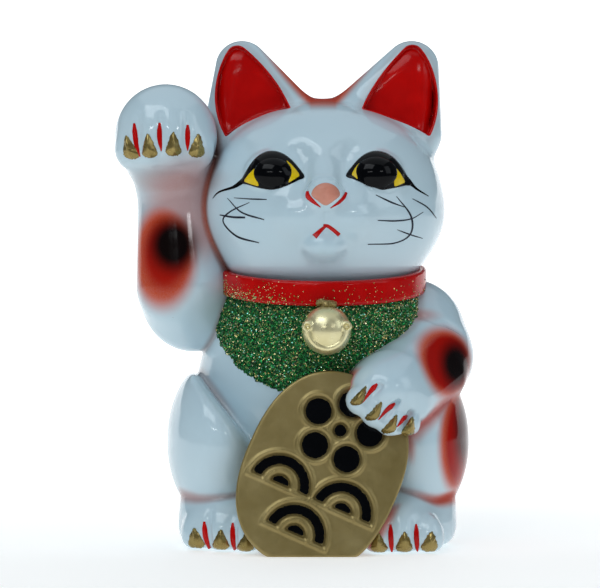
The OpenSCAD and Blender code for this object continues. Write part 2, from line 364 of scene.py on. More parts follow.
def share(p, own, others, k=5):
    """The blended skin of pieces that are luted together, diving under the others beyond the seam."""
    mine = own(p)
    d, rest = mine, None
    for f in others:
        e = f(p)
        d = join(d, e, k)
        rest = e if rest is None else np.minimum(rest, e)
    past = np.maximum(mine - rest, 0)
    return meet(d + 0.8 * past * past / (past + 1.0), mine - 3, 1)


def body_skin(p):
    d = share(p, body, [raised, lowered, tail])
    d = meet(d, -p[:, 2], 9)
    d = np.maximum(d, neck_plane(p, SEAM_Z))
    return meet(d, -inner_room(p), 0.8)


def head_skin(p):
    d = share(p, head, [raised], 3)
    return np.maximum(d, -neck_plane(p, SEAM_Z))


def raised_skin(p):
    return meet(share(p, raised, [body, head], 4), -inner_room(p), 1)


def lowered_skin(p):
    d = meet(share(p, lowered, [body]), -inner_room(p), 1)
    return meet(d, -koban(p), 0.8)


def tail_skin(p):
    return share(p, tail, [body], 5)


def koban_skin(p):
    return meet(koban(p), -body(p), 0.5)


# ---------------------------------------------------------------- meshes from distance functions

def gradient(field, v, e=0.05):
    g = np.empty_like(v)
    for i in range(3):
        s = np.zeros(3)
        s[i] = e
        g[:, i] = (field(v + s) - field(v - s)) / (2 * e)
    return g


def settle(field, v, step, rounds=3):
    """Moves points onto the surface."""
    for _ in range(rounds):
        g = gradient(field, v)
        move = field(v)[:, None] * g / ((g * g).sum(-1, keepdims=True) + 1e-6)
        far = np.sqrt((move * move).sum(-1, keepdims=True)) + 1e-9
        v = v - move * np.minimum(1, 0.7 * step / far)
    return v


def unit(g):
    return g / (np.sqrt((g * g).sum(-1, keepdims=True)) + 1e-9)


def surface(field, low, high, step):
    """Surface nets: one vertex in each cell that the surface crosses, one quad for each crossed edge."""
    axes = [np.arange(a - 2 * step, b + 3 * step, step) for a, b in zip(low, high)]
    shape = [len(a) for a in axes]
    value = np.empty(shape)
    plane = np.stack(np.meshgrid(axes[1], axes[2], indexing="ij"), -1).reshape(-1, 2)
    block = 16
    for i in range(0, shape[0], block):
        xs = axes[0][i:i + block]
        pts = np.empty((len(xs), len(plane), 3))
        pts[:, :, 0] = xs[:, None]
        pts[:, :, 1:] = plane
        value[i:i + block] = field(pts.reshape(-1, 3)).reshape(len(xs), shape[1], shape[2])
    for ax in range(3):
        for end in (0, -1):
            face = [slice(None)] * 3
            face[ax] = end
            value[tuple(face)] = np.maximum(value[tuple(face)], 0.1)
    inside = value < 0
    total = np.zeros([s - 1 for s in shape] + [3])
    count = np.zeros([s - 1 for s in shape])
    crossings = []
    for ax in range(3):
        near = [slice(None)] * 3
        far = [slice(None)] * 3
        near[ax], far[ax] = slice(None, -1), slice(1, None)
        a, b = value[tuple(near)], value[tuple(far)]
        crossed = inside[tuple(near)] != inside[tuple(far)]
        at = np.argwhere(crossed)
        va, vb = a[crossed], b[crossed]
        place = at.astype(float)
        place[:, ax] += va / (va - vb)
        others = [o for o in range(3) if o != ax]
        for da in (0, 1):
            for db in (0, 1):
                cell = at.copy()
                cell[:, others[0]] -= da
                cell[:, others[1]] -= db
                np.add.at(total, tuple(cell.T), place)
                np.add.at(count, tuple(cell.T), 1)
        crossings.append((at, inside[tuple(near)][crossed], others))
    live = count > 0
    number = np.full(count.shape, -1)
    number[live] = np.arange(live.sum())
    verts = total[live] / count[live][:, None] * step + [a[0] for a in axes]
    quads = []
    for ax, (at, first_inside, (oa, ob)) in enumerate(crossings):
        ring = []
        for da, db in ((1, 1), (0, 1), (0, 0), (1, 0)):
            cell = at.copy()
            cell[:, oa] -= da
            cell[:, ob] -= db
            ring.append(number[tuple(cell.T)])
        ring = np.stack(ring, -1)
        flip = first_inside if ax != 1 else ~first_inside
        ring[~flip] = ring[~flip][:, ::-1]
        quads.append(ring)
    return settle(field, verts, step), np.concatenate(quads)


def piece(name, verts, faces, material, node=None, body_name="figure", smooth=True, normals=None):
    """A mesh object that rides on a body, and may stand for one CAD node or several."""
    mesh = bpy.data.meshes.new(name)
    mesh.from_pydata((np.asarray(verts) * MM).tolist(), [], [list(f) for f in faces])
    if smooth:
        mesh.shade_smooth()
    if normals is not None:
        mesh.normals_split_custom_set_from_vertices(normals.tolist())
    obj = bpy.data.objects.new(name, mesh)
    bpy.context.scene.collection.objects.link(obj)
    mesh.materials.append(material)
    if node:
        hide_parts(*([node] if isinstance(node, str) else node))
    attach(obj, body_name)
    return obj


def skin_piece(name, field, node, step, material, margin=3, masks=None):
    low, high = span(node)
    verts, faces = surface(field, low - margin, high + margin, step)
    normals = unit(gradient(field, verts, 0.15))
    obj = piece(name, verts, faces, material, node, normals=normals)
    if masks:
        for label, mask in masks.items():
            a = obj.data.attributes.new(label, "FLOAT", "POINT")
            a.data.foreach_set("value", mask(verts).astype(np.float32))
    return obj


# ---------------------------------------------------------------- paint laid on the skins

def drop(field, xz, start=-110.0, limit=80.0):
    """Where a straight line from the front, at each (x, z), meets the field."""
    p = np.empty((len(xz), 3))
    p[:, 0], p[:, 2] = xz[:, 0], xz[:, 1]
    p[:, 1] = start
    for _ in range(120):
        d = field(p)
        p[:, 1] = np.minimum(p[:, 1] + np.clip(d * 0.8, -4, 12), limit)
    return p


def smooth_loop(points, n, closed=True):
    """A smooth curve through the points."""
    pts = np.asarray(points, float)
    if closed:
        pts = np.concatenate([pts[-1:], pts, pts[:2]])
    else:
        pts = np.concatenate([2 * pts[:1] - pts[1:2], pts, 2 * pts[-1:] - pts[-2:-1]])
    spans = len(pts) - 3
    s = np.linspace(0, spans, n, endpoint=not closed)
    i = np.minimum(s.astype(int), spans - 1)
    t = (s - i)[:, None]
    a, b, c, d = pts[i], pts[i + 1], pts[i + 2], pts[i + 3]
    square = (2 * a - 5 * b + 4 * c - d) * t ** 2
    cube = (3 * b - a - 3 * c + d) * t ** 3
    return 0.5 * (2 * b + (c - a) * t + square + cube)


def coat(field, points, lift):
    """Points raised by lift from the field's surface, and the same sunk under it."""
    n = unit(gradient(field, points))
    return points + n * lift[:, None], points - n * 0.9


def grid_faces(rows, cols, wrap):
    r, c = np.meshgrid(np.arange(rows - 1), np.arange(cols if wrap else cols - 1), indexing="ij")
    a = r * cols + c
    b = r * cols + (c + 1) % cols
    return np.stack([a, b, b + cols, a + cols], -1).reshape(-1, 4)


def counterclockwise(loop):
    x, z = loop.T
    area = (x * np.roll(z, -1) - np.roll(x, -1) * z).sum()
    return loop if area > 0 else loop[::-1]


def shell_faces(rings, n):
    """Faces of a coat: its top, its underside and the wall around them."""
    count = rings * n
    faces = grid_faces(rings, n, True).tolist()
    side = np.arange(count - n, count)
    after = np.roll(side, -1)
    top = [f[::-1] for f in faces] + [list(range(n))]
    under = [[i + count for i in f] for f in faces] + [list(range(count, count + n))[::-1]]
    return top + under + np.stack([side + count, after + count, after, side], -1).tolist()


def patch(name, field, loop, height, material, node=None, power=2.0, edge=0.12, n=72, rings=9,
          centre=None, wobble=0.0, relief=None):
    """A raised spot of paint or relief inside a closed outline seen from the front."""
    rim = counterclockwise(smooth_loop(loop, n))
    if wobble:
        rim = rim + wobble * draw.standard_normal(rim.shape)
    mid = rim.mean(0) if centre is None else np.asarray(centre, float)
    r = np.linspace(0.04, 1, rings) ** 0.8
    xz = (mid + r[:, None, None] * (rim - mid)).reshape(-1, 2)
    lift = np.repeat(edge + height * (1 - r ** power), n)
    if relief:
        lift = lift + relief(xz[:, 0], xz[:, 1]) * (1 - np.repeat(r, n) ** 4)
    top, under = coat(field, drop(field, xz), lift)
    return piece(name, np.concatenate([top, under]), shell_faces(rings, n), material, node)


def stroke(field, points, widths, height, n=40, across=7):
    """A brush stroke: a ribbon along points (x, z), as wide as the widths say."""
    line = smooth_loop(points, n, closed=False)
    wide = np.interp(np.linspace(0, 1, n), np.linspace(0, 1, len(widths)), widths) / 2
    along = unit(np.gradient(line, axis=0))
    normal = np.stack([-along[:, 1], along[:, 0]], -1)
    s = np.linspace(-1, 1, across)
    xz = (line[:, None] + normal[:, None] * (wide[:, None] * s)[:, :, None]).reshape(-1, 2)
    thin = np.minimum(1, wide / wide.max() + 0.15)
    lift = (0.14 + height * thin[:, None] * (1 - s ** 2)).reshape(-1)
    top, under = coat(field, drop(field, xz), lift)
    count = len(top)
    faces = grid_faces(n, across, False).tolist()
    a = np.arange(across)
    loop = np.concatenate([a, np.arange(2, n + 1) * across - 1, (n - 1) * across + a[::-1][1:],
                           np.arange(1, n - 1)[::-1] * across])
    after = np.roll(loop, -1)
    walls = np.stack([loop, loop + count, after + count, after], -1).tolist()
    both = [f[::-1] for f in faces] + [[i + count for i in f] for f in faces] + walls
    return np.concatenate([top, under]), both


def merged(name, parts, material, node=None, smooth=True):
    """One object from several (verts, faces)."""
    verts, faces, base = [], [], 0
    for v, f in parts:
        verts.append(v)
        faces += [[i + base for i in face] for face in f]
        base += len(v)
    return piece(name, np.concatenate(verts), faces, material, node, smooth=smooth)


# ---------------------------------------------------------------- materials

def linear(r, g, b):
    return tuple((c / 255 / 12.92 if c / 255 <= 0.04045 else ((c / 255 + 0.055) / 1.055) ** 2.4)
                 for c in (r, g, b)) + (1.0,)


class Paint:
    """A material being wired: small helpers around its node tree."""

    def __init__(self, name, **sockets):
        self.mat = bpy.data.materials.new(name)
        self.mat.use_nodes = True
        self.tree = self.mat.node_tree
        self.bsdf = self.tree.nodes["Principled BSDF"]
        for key, value in sockets.items():
            self.bsdf.inputs[key.replace("_", " ").title().replace("Ior", "IOR")].default_value = value
        self.where = self.tree.nodes.new("ShaderNodeTexCoord").outputs["Object"]

    def node(self, kind, **inputs):
        n = self.tree.nodes.new("ShaderNode" + kind)
        for key, value in inputs.items():
            key = int(key[1:]) if key[0] == "i" and key[1:].isdigit() else key.replace("_", " ")
            self.put(n.inputs[key], value)
        return n

    def put(self, socket, value):
        if isinstance(value, bpy.types.NodeSocket):
            self.tree.links.new(value, socket)
        else:
            socket.default_value = value

    def noise(self, mm, detail=3, rough=0.5):
        n = self.node("TexNoise", Vector=self.where, Scale=1000 / mm, Detail=detail, Roughness=rough)
        return n.outputs["Fac"]

    def cells(self, mm, feature="F1", output="Distance"):
        n = self.node("TexVoronoi", Vector=self.where, Scale=1000 / mm)
        n.feature = feature
        return n.outputs[output]

    def ramp(self, fac, *stops):
        """Colours or greys at places along fac."""
        n = self.node("ValToRGB", Fac=fac)
        marks = n.color_ramp.elements
        while len(marks) < len(stops):
            marks.new(0.5)
        for mark, (at, colour) in zip(marks, stops):
            mark.position = at
            mark.color = colour if isinstance(colour, tuple) else (colour, colour, colour, 1)
        return n.outputs["Color"]

    def mix(self, fac, a, b):
        n = self.tree.nodes.new("ShaderNodeMix")
        n.data_type = "RGBA"
        self.put(n.inputs[0], fac)
        self.put(n.inputs[6], a)
        self.put(n.inputs[7], b)
        return n.outputs[2]

    def maths(self, operation, a, b=0.5):
        n = self.tree.nodes.new("ShaderNodeMath")
        n.operation = operation
        n.use_clamp = operation in ("MULTIPLY", "MULTIPLY_ADD", "ADD", "SUBTRACT")
        self.put(n.inputs[0], a)
        self.put(n.inputs[1], b)
        return n.outputs[0]

    def mask(self, label):
        n = self.tree.nodes.new("ShaderNodeAttribute")
        n.attribute_name = label
        return n.outputs["Fac"]

    def bump(self, height, mm, strength=1.0):
        before = self.bsdf.inputs["Normal"]
        n = self.node("Bump", Height=height, Distance=mm * MM, Strength=strength)
        if before.links:
            self.tree.links.new(before.links[0].from_socket, n.inputs["Normal"])
        self.tree.links.new(n.outputs["Normal"], before)

    def colour(self, value):
        self.put(self.bsdf.inputs["Base Color"], value)

    def rough(self, value):
        self.put(self.bsdf.inputs["Roughness"], value)


def white_glaze():
    m = Paint("white_glaze", coat_roughness=0.03)
    white = m.ramp(m.noise(70, 2), (0.3, linear(194, 220, 232)), (0.7, linear(205, 227, 237)))
    specks = m.ramp(m.cells(17), (0.0, 1.0), (0.014, 1.0), (0.02, 0.0))
    white = m.mix(m.maths("MULTIPLY", specks, 0.45), white, linear(120, 96, 80))
    spray = m.ramp(m.noise(0.9, 4, 0.7), (0.2, 0.86), (0.8, 1.0))
    # Brown airbrush and painted shade: darker brown in the folds, under the raised paw and under the head.
    brown_airbrush_and_shade = m.maths("MULTIPLY", m.mask("brown_and_shade"), spray)
    col = m.mix(brown_airbrush_and_shade, white, linear(134, 66, 40))
    col = m.mix(m.maths("MULTIPLY", m.mask("warm"), spray), col, linear(206, 74, 14))
    col = m.mix(m.mask("rouge"), col, linear(168, 16, 6))
    col = m.mix(m.mask("core"), col, linear(14, 6, 6))
    m.colour(col)
    m.rough(m.ramp(m.noise(30, 3), (0.3, 0.07), (0.7, 0.13)))
    m.put(m.bsdf.inputs["Specular IOR Level"], m.ramp(m.mask("matt"), (0.0, 0.48), (1.0, 0.09)))
    m.put(m.bsdf.inputs["Coat Weight"], m.ramp(m.mask("matt"), (0.0, 0.25), (1.0, 0.0)))
    m.bump(m.noise(26, 2), 0.22)
    m.bump(m.noise(3.5, 2), 0.01)
    return m.mat


def enamel(name, low, high, rough=0.12, bump=0.05, level=0.22):
    m = Paint(name, roughness=rough, specular_ior_level=level)
    m.colour(m.ramp(m.noise(14, 4), (0.3, low), (0.7, high)))
    m.rough(m.ramp(m.noise(9, 3), (0.3, rough), (0.7, rough + 0.08)))
    m.bump(m.noise(5, 3), bump)
    return m.mat


def gold_paint(name, metallic, dark, mid, light, rough):
    m = Paint(name, metallic=metallic)
    m.colour(m.ramp(m.noise(16, 3, 0.5), (0.25, linear(*dark)), (0.55, linear(*mid)), (0.8, linear(*light))))
    m.rough(m.ramp(m.noise(2.5, 3), (0.3, rough), (0.7, rough + 0.1)))
    m.bump(m.noise(0.7, 3), 0.03)
    m.bump(m.noise(7, 2), 0.1)
    return m.mat


def glitter_base():
    m = Paint("glitter", metallic=0.35, roughness=0.45)
    grain = m.cells(0.9, output="Color")
    tone = m.node("SeparateColor", Color=grain).outputs[0]
    m.colour(m.ramp(tone, (0.0, linear(2, 30, 14)), (0.45, linear(5, 84, 36)), (0.85, linear(18, 132, 62)),
                    (0.98, linear(130, 150, 80))))
    m.bump(m.cells(0.9), 0.5)
    m.bump(m.noise(2.2, 3), 0.5)
    return m.mat


def glitter_flakes():
    m = Paint("glitter_flakes", metallic=0.8, roughness=0.16)
    m.colour(m.ramp(m.mask("tone"), (0.0, linear(0, 40, 18)), (0.4, linear(6, 116, 50)),
                    (0.72, linear(50, 180, 96)), (0.78, linear(214, 190, 112)),
                    (0.93, linear(252, 240, 190)), (0.97, linear(150, 240, 220))))
    return m.mat


def rubber():
    m = Paint("rubber", roughness=0.6)
    m.colour(m.ramp(m.noise(6, 4), (0.3, linear(26, 26, 28)), (0.7, linear(40, 40, 43))))
    m.bump(m.noise(0.9, 3), 0.05)
    return m.mat


GLAZE = white_glaze()
GOLD = gold_paint("gold_enamel", 0.55, (140, 122, 72), (154, 136, 86), (170, 152, 102), 0.28)
CLAW_GOLD = gold_paint("claw_gold", 0.7, (132, 114, 62), (158, 138, 82), (184, 164, 106), 0.18)
BELL_GOLD = gold_paint("bell_gold", 0.75, (226, 214, 160), (238, 228, 180), (246, 238, 198), 0.26)
RED = enamel("red_enamel", linear(184, 4, 3), linear(204, 8, 5))
BLACK = enamel("black_enamel", linear(3, 4, 6), linear(7, 8, 11), 0.05, 0.02, 0.14)
YELLOW = enamel("yellow_enamel", linear(222, 186, 8), linear(240, 208, 20))
PINK = enamel("pink_enamel", linear(206, 132, 112), linear(222, 156, 136), 0.16)
INK = enamel("whisker_ink", linear(26, 30, 44), linear(44, 50, 66), 0.3, 0.02)
GLITTER = glitter_base()
FLAKES = glitter_flakes()
RUBBER = rubber()


# ---------------------------------------------------------------- airbrushed colour and painted shade

def falloff(t, inner, outer):
    """1 within inner, 0 beyond outer, smooth between."""
    s = np.clip((outer - t) / (outer - inner), 0, 1)
    return s * s * (3 - 2 * s)


def spot(p, centre, radii):
    return np.sqrt((((p - np.asarray(centre, float)) / radii) ** 2).sum(-1))


def crease(p, a, b, width):
    """Strong where the surfaces of two masses meet."""
    return falloff(np.abs(a(p)) + np.abs(b(p)), 0.4 * width, 3.5 * width)


def foot(p):
    q = local(p, BODY_X)[0]
    return np.minimum(*[instep(q, s, mid, front) for s, mid, front, _ in FEET])


def outward(p, inner, outer):
    """0 near the body's middle and 1 at its sides."""
    return 1 - falloff(np.abs(p[:, 0] - BODY_X), inner, outer)


def strongest(*masks):
    return np.clip(np.maximum.reduce(masks), 0, 1)


ARM_SPOT = np.array([-74.5, -36, 170])
ELBOW_SPOT = np.array([88, -42, 106.5])
STRIPE = np.array([97, -45, 61])


def below_crest(p):
    """Depth below the skyline that the head has between its ears."""
    q, m = local(p, HEAD_X)
    depth = EAR_TOP - 36 + 1.17 * np.maximum(m[:, 0] - 7, 0) - q[:, 2]
    return np.where(q[:, 2] > EAR_TOP - 60, depth, 99.0)


def bare_forearm(p):
    """The part of the raised arm between the paw and the black spot."""
    return falloff(spot(p, (-58, -34, 196), (30, 36, 30)), 0.55, 1.35) * falloff(raised(p), 0.3, 2.5)


def warm(p):
    """Orange airbrush, around the spots and in the folds."""
    left = p[:, 0] < BODY_X
    arm = falloff(spot(p, ARM_SPOT + [-2.5, 0, -2], (21, 48, 31)), 0.72, 1.2) * falloff(p[:, 1], -8, 8)
    elbow = falloff(spot(p, ELBOW_SPOT + [-1, 0, 0], (20.5, 42, 22.5)), 0.74, 1.14)
    haunch = falloff(spot(p, STRIPE, (15.5, 60, 33)), 0.75, 1.12)
    saddle = 0.95 * falloff(below_crest(p), 2, 9) * falloff(np.abs(p[:, 0] - HEAD_X), 22, 42)
    fold = 0.75 * crease(p, lowered, thigh, 2.6)
    ankle = crease(p, thigh, foot, 1.7) * outward(p, 46, 76) * np.where(left, 0.25, 1.0)
    beside = 0.85 * falloff(koban(p), 0.5, 5.5) * (~left)
    forearm = 0.4 * bare_forearm(p)
    shoulder = 0.5 * falloff(spot(p, (74, -30, 134.5), (12, 9, 4)), 0.2, 1.5)
    return strongest(arm, elbow, haunch, saddle, fold, ankle, beside, forearm, shoulder)


def brown_and_shade(p):
    """Thin brown airbrush, and painted shade: darker in the folds and creases, under the raised paw and under
    the head.
    """
    z = p[:, 2]
    # Painted shade, with brown airbrush: darker along the creases between masses.
    neck_side = 0.95 * crease(p, raised, head, 1.7)
    edge = 0.5 * falloff(below_crest(p), 2, 12) * falloff(np.abs(p[:, 0] - HEAD_X), 22, 42)
    shoulder = 0.6 * crease(p, raised, torso, 1.3) * falloff(np.abs(z - 128), 12, 34)
    hip = 0.55 * crease(p, thigh, torso, 1.6) * falloff(np.abs(z - 92), 4, 26) * (p[:, 1] < 0)
    fold = 0.45 * crease(p, lowered, torso, 1.8)
    # Painted shadow under the raised paw.
    wrist = 0.5 * falloff(spot(p, PAW + [4, -14, -27], (30, 24, 9)), 0.3, 1.4)
    forearm = 0.36 * bare_forearm(p)
    ankle = 0.6 * crease(p, thigh, foot, 1.3)
    # Painted shadow under the head, on the neck at the seam.
    under = 0.5 * falloff(np.abs(neck_plane(p, SEAM_Z - 2)), 1, 9) * falloff(p[:, 1], -30, 0)
    under = under * falloff(np.abs(p[:, 0] - HEAD_X), 50, 60)
    brow = 0.22 * falloff(np.abs(head(p)) + np.abs(hollows(local(p, HEAD_X)[0]) - 1.5), 0.5, 5)
    return strongest(neck_side, shoulder, hip, fold, wrist, forearm, ankle, under, brow, edge)


def rouge(p):
    """Red airbrush inside the orange."""
    arm = 0.95 * falloff(spot(p, ARM_SPOT + [-0.5, 0, -0.5], (18, 48, 27)), 0.5, 1.06)
    elbow = falloff(spot(p, ELBOW_SPOT + [0.5, 0, 0], (17, 42, 19)), 0.74, 1.04)
    haunch = falloff(spot(p, STRIPE + [0.5, 0, 0], (12.5, 60, 30)), 0.7, 1.06)
    saddle = 0.6 * falloff(below_crest(p), 0, 5) * falloff(np.abs(p[:, 0] - HEAD_X), 12, 28)
    ankle = 0.8 * crease(p, thigh, foot, 0.9) * outward(p, 56, 74) * (p[:, 0] > BODY_X)
    fold = 0.6 * crease(p, lowered, thigh, 1.2) * (p[:, 1] < -20)
    return strongest(arm, elbow, haunch, saddle, ankle, fold)


def core(p):
    """Black airbrush in the middle of the spots."""
    arm = falloff(spot(p, ARM_SPOT + [4.5, -2, 5.3], (12.5, 40, 13.5)), 0.6, 1.6)
    elbow = falloff(spot(p, ELBOW_SPOT + [6, 4, -1], (9.5, 36, 13)), 0.5, 1.5)
    haunch = 0.85 * falloff(spot(p, (100, -40, 68), (8, 50, 22)), 0.4, 1.4)
    return strongest(arm, elbow, haunch)


def matt(p):
    """Where airbrush took the gloss off: most of all on the skyline between the ears."""
    crest = falloff(below_crest(p), 5, 14) * falloff(np.abs(p[:, 0] - HEAD_X), 24, 44)
    return np.maximum(crest, 0.9 * warm(p))


MASKS = {"brown_and_shade": brown_and_shade, "warm": warm, "rouge": rouge, "core": core, "matt": matt}


# ---------------------------------------------------------------- the castings

skin_piece("body_glaze", body_skin, "body_casting", COARSE, GLAZE, masks=MASKS)
skin_piece("head_glaze", head_skin, "head_casting", FINE, GLAZE, masks=MASKS)
skin_piece("raised_arm_glaze", raised_skin, "raised_arm", COARSE, GLAZE, masks=MASKS)
skin_piece("lowered_arm_glaze", lowered_skin, "lowered_arm", COARSE, GLAZE, masks=MASKS)
skin_piece("tail_glaze", tail_skin, "tail", COARSE, GLAZE, margin=5, masks=MASKS)
skin_piece("koban", koban_skin, "koban_plate", FINE * 0.75, GOLD)


def inlay(p):
    """Black enamel on the floor of the engraving."""
    q = koban_local(p)
    return np.maximum(motif(q[:, 0], q[:, 1]) - 0.45 * q[:, 2] - 0.2, np.abs(q[:, 2] + ENGRAVE) - 0.45)


skin_piece("koban_inlay", inlay, "koban_ornament", 0.7, BLACK, margin=2)


# ---------------------------------------------------------------- ears

def dive(past):
    """Depth that a coat sinks to, beyond its edge."""
    return 0.8 * past * past / (past + 0.4)


def ear_rim(side, n):
    """The edge of the ear's hollow as (x, z), found along lines from its middle."""
    middle_of = np.array([HEAD_X + side * 43.0, EAR_TOP - 39])
    turn = np.linspace(0, 2 * math.pi, n, endpoint=False)
    along = np.stack([np.cos(turn), np.sin(turn)], -1)
    reach = np.full(n, 1.0)
    for _ in range(80):
        xz = middle_of + reach[:, None] * along
        flat = np.stack([xz[:, 0] - HEAD_X, 0 * turn, xz[:, 1]], -1)
        reach = reach + 0.6 * np.clip(-ear_outline(flat, side), -2, 2)
    return middle_of, middle_of + reach[:, None] * along


def ear_lining(side, name, node, n=180, rings=28):
    """Red enamel over the floor and the walls of the ear's hollow, up to its rim."""
    mid, rim = ear_rim(side, n)

    def closed(p):
        return skull(*local(p, HEAD_X))
    top_edge = drop(closed, rim, start=-60)
    floor_rim = drop(head, mid + 0.93 * (rim - mid), start=-60)
    rows = []
    for t in np.linspace(0.03, 1, rings - 8):
        rows.append(drop(head, mid + 0.93 * t * (rim - mid), start=-60))
    for t in np.linspace(0, 1, 7)[1:]:
        rows.append(settle(head, floor_rim + t * (top_edge - floor_rim), 3.0, 4))
    out = unit(rim - mid)
    rows += [drop(head, rim + step * out, start=-60) for step in (0.7, 1.2)]
    points = np.concatenate(rows)
    lift = 0.45 * np.ones(len(points))
    lift[-n:] = -0.1
    top, under = coat(head, points, lift)
    piece(name, np.concatenate([top, under]), shell_faces(rings, n), RED, node)


ear_lining(-1, "right_ear_enamel", "right_ear_lining")
ear_lining(1, "left_ear_enamel", "left_ear_lining")


# ---------------------------------------------------------------- face

def face_points(points, side=1):
    """Places on the face as (x, z), given from the middle of the skull."""
    return [(HEAD_X + side * x, SKULL_Z + z) for x, z in points]


# For each eye: the dome (middle and radii), the lids' inner corner, crown, outer corner and lowest place,
# how bent the lower lid is, the yellow corners (from the dome to the tip and back) and the tail.
EYES = {
    "right_eye": (-1, (29, 5.6, 10.5, 8.1), ((11, 3.5), (30, 18.5), (47.5, 1), (29.5, -4)), 1.55,
                  ((21.5, 12.5), (14, 4), (20, 0)), ((37, -1.5), (45, 1.5), (39, 8)),
                  ((44.5, 3), (51.5, -1.5), (60.5, -4), (64.5, -7.5))),
    "left_eye": (1, (29.9, 5.8, 11.4, 8.6), ((12.5, 4), (30.5, 18.5), (50.5, 0), (33, -4)), 1.25,
                 ((20.5, 11), (16, 4.5), (19, 2)), ((40, -1.5), (46, 1), (40.5, 8.5)),
                 ((47.5, 3), (53.5, -2.5), (61, -6.5))),
}
UPPER_BEND = 2.1


def lid_line(start, peak, bend, n=5):
    """Places from a corner of the eye up or down to the middle of a lid, which bends as a power."""
    s = np.linspace(0, 1, n, endpoint=False)
    x = start[0] + (peak[0] - start[0]) * s
    z = peak[1] + (start[1] - peak[1]) * (1 - s) ** bend
    return list(zip(x, z))


def lid_outline(inner, crown, outer, low, bend):
    """A closed line around both lids, from the inner corner over the crown."""
    over = lid_line(inner, crown, UPPER_BEND) + [crown] + lid_line(outer, crown, UPPER_BEND)[::-1]
    return over + lid_line(outer, low, bend)[1:] + [low] + lid_line(inner, low, bend)[:0:-1]


BOW = 0.055


def bowed(a, b):
    """A side of a yellow corner: from a to just before b, bowed outwards."""
    (ax, az), (bx, bz) = a, b
    out_x, out_z = BOW * (bz - az), -BOW * (bx - ax)
    return [a] + [(ax + t * (bx - ax) + out_x, az + t * (bz - az) + out_z) for t in (1 / 3, 2 / 3)]


def between(dome, start, end, n=5):
    """Places on the dome's edge between the directions of two points."""
    x, z, rx, rz = dome
    a, b = [math.atan2((v - z) / rz, (u - x) / rx) for u, v in (start, end)]
    b += 2 * math.pi * round((a - b) / (2 * math.pi))
    return [(x + 0.985 * rx * math.cos(t), z + 0.985 * rz * math.sin(t)) for t in np.linspace(a, b, n)][1:-1]


def eye(name):
    side, dome, lids, low_bend, inner, outer, tail_line = EYES[name]
    x, z, rx, rz = dome

    def put(points):
        return face_points(points, side)
    patch(name + "_lids", head, put(lid_outline(*lids, low_bend)), 0.25, BLACK, name,
          power=8, edge=0.35, n=110, rings=14, centre=put([(x, z)])[0])
    ring = np.linspace(0, 2 * math.pi, 24, endpoint=False)
    iris = [(x + rx * math.cos(a), z + rz * math.sin(a)) for a in ring]
    patch(name + "_dome", head, put(iris), 1.6, BLACK, power=2.4, edge=0.85,
          n=84, rings=16)
    for (start, tip, end), part in ((inner, "_inner_corner"), (outer, "_outer_corner")):
        line = bowed(start, tip) + bowed(tip, end) + [end]
        patch(name + part, head, put(line + between(dome, end, start)), 0.12, YELLOW,
              edge=0.68, n=60, rings=7)
    tail_part = stroke(head, put(tail_line), [3.4, 2.6, 1.5, 1.1, 0.8, 0.3], 0.3)
    merged(name + "_tail", [tail_part], BLACK)


def mirrored(top, half, bottom):
    """A closed outline from the places on its right half, with top and bottom on the middle line."""
    return [(0, top)] + half + [(0, bottom)] + [(-x, z) for x, z in half[::-1]]


def nose():
    x0, z0 = HEAD_X + 0.8, NOSE[2] + 0.2
    outline = mirrored(5.5, [(5.5, 3.5), (8, -1), (4.5, -4.5)], -7)

    def nostrils(x, z):
        bumps = sum(np.exp(-((x - x0 - s * 4.9) ** 2 + (z - z0 + 1.6) ** 2) / 3.0) for s in (-1, 1))
        return 1.0 * bumps - 0.5 * np.exp(-(x - x0) ** 2 / 1.6) * (z < z0 + 2)
    patch("nose_enamel", head, [(x0 + x, z0 + z) for x, z in outline], 0.9, PINK, "nose_pad",
          power=4, n=72, rings=16, relief=nostrils)


def mouth():
    lines = [([(1, -25), (-1.5, -27), (-5.5, -31)], [1.3, 2.0, 3.3]),
             ([(-0.5, -24.5), (2, -25), (5, -27), (8.5, -30)], [1.4, 1.9, 2.1, 2.3]),
             ([(-9.5, -5.5), (-9, -8.5), (-6, -11.5), (-2, -14.5)], [1.5, 2.8, 2.0, 0.4]),
             ([(12.5, -6), (11, -9), (8, -12), (3.5, -15)], [1.5, 2.0, 1.7, 0.4])]
    merged("mouth_enamel", [stroke(head, face_points(line), widths, 0.35) for line, widths in lines], RED)


# Each whisker's start, the places where it bends and its end, with the widths along it.
WHISKERS = (
    ([(-51.5, -8), (-42, -9), (-32.5, -9.5)], [0.3, 0.5, 0.7, 0.8, 0.4]),
    ([(-55.5, -8), (-47, -16.5), (-34, -21)], [0.3, 0.6, 0.8, 1.0, 0.5]),
    ([(-60, -17.5), (-52.5, -19), (-45, -19.5)], [0.6, 1.0, 1.1, 1.2, 1.0]),
    ([(-42.5, -11), (-54, -16), (-58, -21.5), (-50, -30), (-37, -34)], [0.3, 0.7, 0.9, 0.7, 0.9, 1.1, 0.5]),
    ([(29.5, -7), (38.5, -11), (46, -13.5)], [0.4, 0.8, 1.0, 0.7, 0.4]),
    ([(41.5, -7.5), (50, -18.5), (50, -28.5), (41, -34), (25, -35)], [0.3, 0.9, 1.1, 0.9, 0.7, 0.7, 0.5]),
    ([(30.5, -21.5), (41.5, -21.5), (50.5, -20), (57.5, -16)], [0.5, 0.9, 0.8, 0.5, 0.3]),
    ([(51, -8.5), (60, -13), (66, -19)], [0.3, 0.7, 0.8, 0.7, 0.3]),
    ([(42, -26.5), (49.5, -29), (57.5, -31)], [0.3, 0.7, 0.8, 0.7, 0.3]),
)


def whiskers():
    parts = [stroke(head, face_points(line), widths, 0.1, n=48, across=3) for line, widths in WHISKERS]
    merged("whiskers", parts, INK)


eye("right_eye")
eye("left_eye")
nose()
mouth()
whiskers()


# ---------------------------------------------------------------- claws and the strokes between the toes

CLAW = mirrored(0.6, [(0.2, 0.4), (0.4, 0.03), (0.5, -0.23), (0.3, -0.39)], -0.42)


